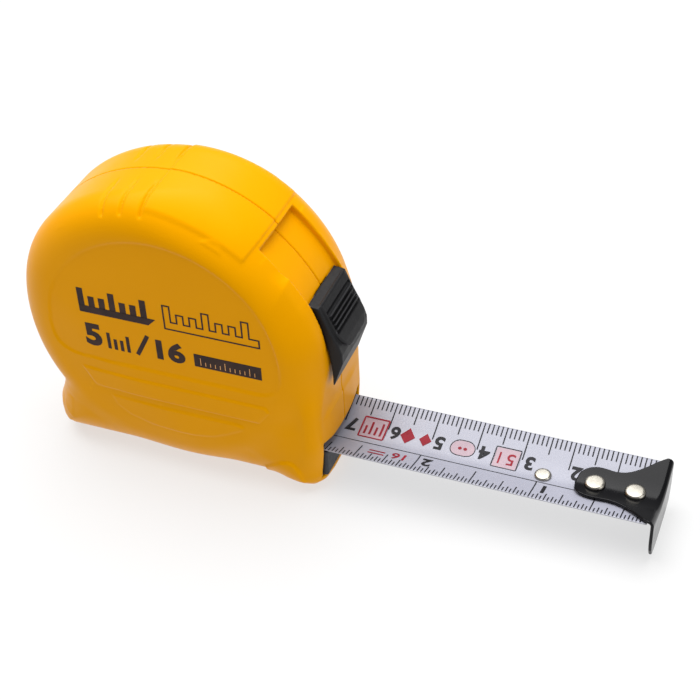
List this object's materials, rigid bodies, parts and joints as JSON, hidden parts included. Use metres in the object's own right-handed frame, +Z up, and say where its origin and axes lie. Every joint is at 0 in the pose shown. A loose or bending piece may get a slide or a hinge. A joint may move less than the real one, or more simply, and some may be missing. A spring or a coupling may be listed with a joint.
{
  "type": "surveyor tape reel",
  "caption": "Pocket tape measure: rounded case split down its middle, printed cupped steel blade drawn part way, riveted end hook, ribbed thumb lock, belt clip.",
  "frame": {"origin": "on the flat base of the case, straight under the reel's axis", "axes": "+X towards the blade's mouth and hook, +Y towards the belt clip, +Z up"},
  "size_m": [0.1379, 0.038, 0.0681],
  "materials": {
    "yellow_case": "moulded ABS, satin gloss",
    "black_plastic": "fine grained matte",
    "black_rubber": "matte",
    "black_hook": "gloss black coated steel",
    "printed_blade": "white lacquered steel, printed scale",
    "nickel": "nickel plated, polished",
    "plated_steel": "zinc plated",
    "spring_steel": "blued strip",
    "white_plastic": "unpainted acetal"
  },
  "bodies": {
    "case": {"case_shell_near": "yellow_case", "case_shell_far": "yellow_case", "mouth_bumper": "black_plastic", "spindle": "plated_steel", "belt_clip": "plated_steel", "clip_screw": "plated_steel", "case_screw_1": "plated_steel", "case_screw_2": "plated_steel", "case_screw_3": "plated_steel", "case_screw_4": "plated_steel"},
    "reel": {"reel_drum": "white_plastic", "reel_disc": "white_plastic", "blade_coil": "printed_blade", "power_spring": "spring_steel"},
    "drawn_blade": {"blade": "printed_blade", "hook_rivet_1": "nickel", "hook_rivet_2": "nickel", "blade_rivet": "nickel"},
    "hook": {"end_hook": "black_hook"},
    "lock": {"thumb_lock": "black_plastic", "brake_arm": "black_plastic", "brake_shoe": "black_rubber"}
  },
  "joints": [
    {"name": "blade_draw", "type": "slide", "parent": "case", "child": "drawn_blade", "axis": [1, 0, 0], "range_m": [-0.068, 0], "deforming": ["blade"]},
    {"name": "reel_turn", "type": "hinge", "parent": "case", "child": "reel", "pos_m": [0, 0, 0.0343], "axis": [0, 1, 0], "range_deg": [0, 174]},
    {"name": "hook_float", "type": "slide", "parent": "drawn_blade", "child": "hook", "axis": [1, 0, 0], "range_m": [-0.0007, 0]},
    {"name": "lock_slide", "type": "hinge", "parent": "case", "child": "lock", "pos_m": [-0.0038, 0, 0.0283], "axis": [0, -1, 0], "range_deg": [0, 17]}
  ],
  "couplings": [
    {"joint": "reel_turn", "follows": "blade_draw", "rad_per_m": -44.444}
  ]
}
